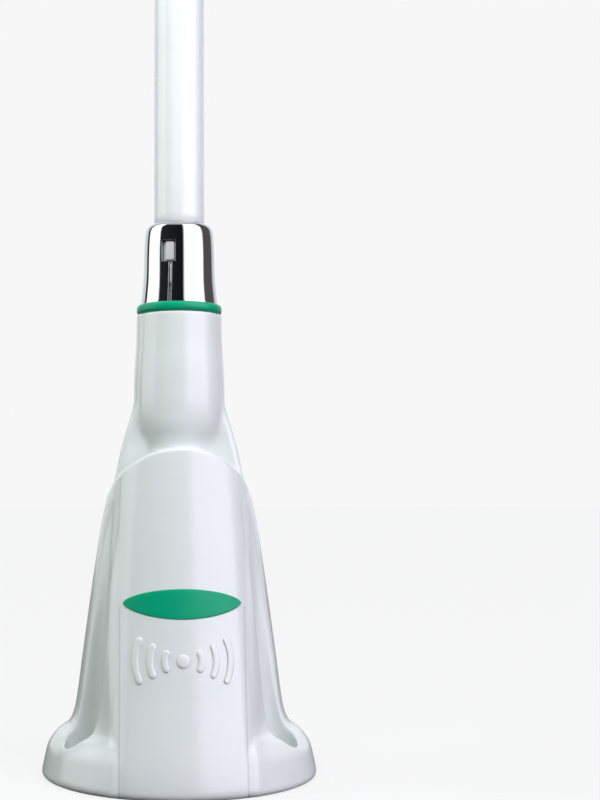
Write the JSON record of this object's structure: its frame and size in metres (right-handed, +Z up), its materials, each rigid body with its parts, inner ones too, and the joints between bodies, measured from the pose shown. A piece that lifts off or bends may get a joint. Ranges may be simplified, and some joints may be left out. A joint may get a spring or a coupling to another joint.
{
  "type": "omnidirectional antenna",
  "caption": "Marine whip antenna: tapered fibreglass rod in a chrome quick-release ferrule on a flanged white bell-shaped deck base with a raised front shield.",
  "frame": {"origin": "centre of the flange's underside, where the base stands on the deck", "axes": "+Z up along the whip; -Y towards the front, the side with the shield and badge; +X to the right seen from the front"},
  "size_m": [0.08, 0.08, 1.8],
  "materials": {
    "nylon_white": "glossy injection-moulded UV-stable nylon",
    "badge_green": "glossy printed plastic inlay",
    "ring_green": "satin dyed nylon",
    "chrome": "bright chrome plate on turned brass",
    "fibreglass_white": "white polyurethane gloss over pultruded glass fibre",
    "cap_white": "satin moulded cap",
    "nylon_grey": "natural moulded nylon",
    "cover_white": "fine-grained moulded underside",
    "foam_grey": "closed-cell foam rubber",
    "rubber_black": "moulded rubber",
    "stainless": "stainless steel",
    "brass": "turned brass",
    "gold_brass": "gold-flashed brass",
    "tin": "tin-plated copper",
    "ptfe": "turned fluoropolymer",
    "copper": "enamelled copper wire",
    "ferrite": "sintered ferrite",
    "coax_jacket": "extruded cable jacket",
    "foam_white": "polyethylene foam",
    "former_white": "moulded acetal"
  },
  "bodies": {
    "base": {"base_housing": "nylon_white", "band_badge": "badge_green", "base_gasket": "foam_grey", "bottom_cover": "cover_white", "cover_screws": "stainless", "cable_grommet": "rubber_black", "socket_collar": "nylon_grey", "ring_band": "ring_green", "lock_washer": "stainless", "ground_lug": "tin", "collar_nut": "brass", "ground_sleeve": "brass", "contact_insulator": "ptfe", "contact_barrel": "brass", "contact_spring": "stainless"},
    "whip": {"ferrule": "chrome", "ferrule_bush": "brass", "whip_plug": "brass", "plug_oring": "rubber_black", "whip_insulator": "ptfe", "whip_centre_pin": "gold_brass", "radome_tube": "fibreglass_white", "feed_line": "coax_jacket", "choke_beads": "ferrite", "lower_element": "brass", "coil_former": "former_white", "matching_coil": "copper", "upper_element": "brass", "foam_spacers": "foam_white", "tip_plug": "nylon_grey", "tip_cap": "cap_white"},
    "latch": {"latch_tongue": "nylon_grey"},
    "plunger": {"contact_plunger": "gold_brass"}
  },
  "joints": [
    {"name": "whip_lift", "type": "slide", "parent": "base", "child": "whip", "axis": [0, 0, 1], "range_m": [0, 0.06], "deforming": ["latch_tongue"]},
    {"name": "latch_press", "type": "hinge", "parent": "base", "child": "latch", "pos_m": [-0.00267, -0.00749, 0.1392], "axis": [-0.9421, 0.3355, 0], "range_deg": [0, 5.5], "stiffness_Nm_per_rad": 0.25},
    {"name": "contact_plunge", "type": "slide", "parent": "base", "child": "plunger", "axis": [0, 0, -1], "range_m": [0, 0.0012], "stiffness_N_per_m": 400, "springref_m": -0.0006, "deforming": ["contact_spring"]}
  ]
}
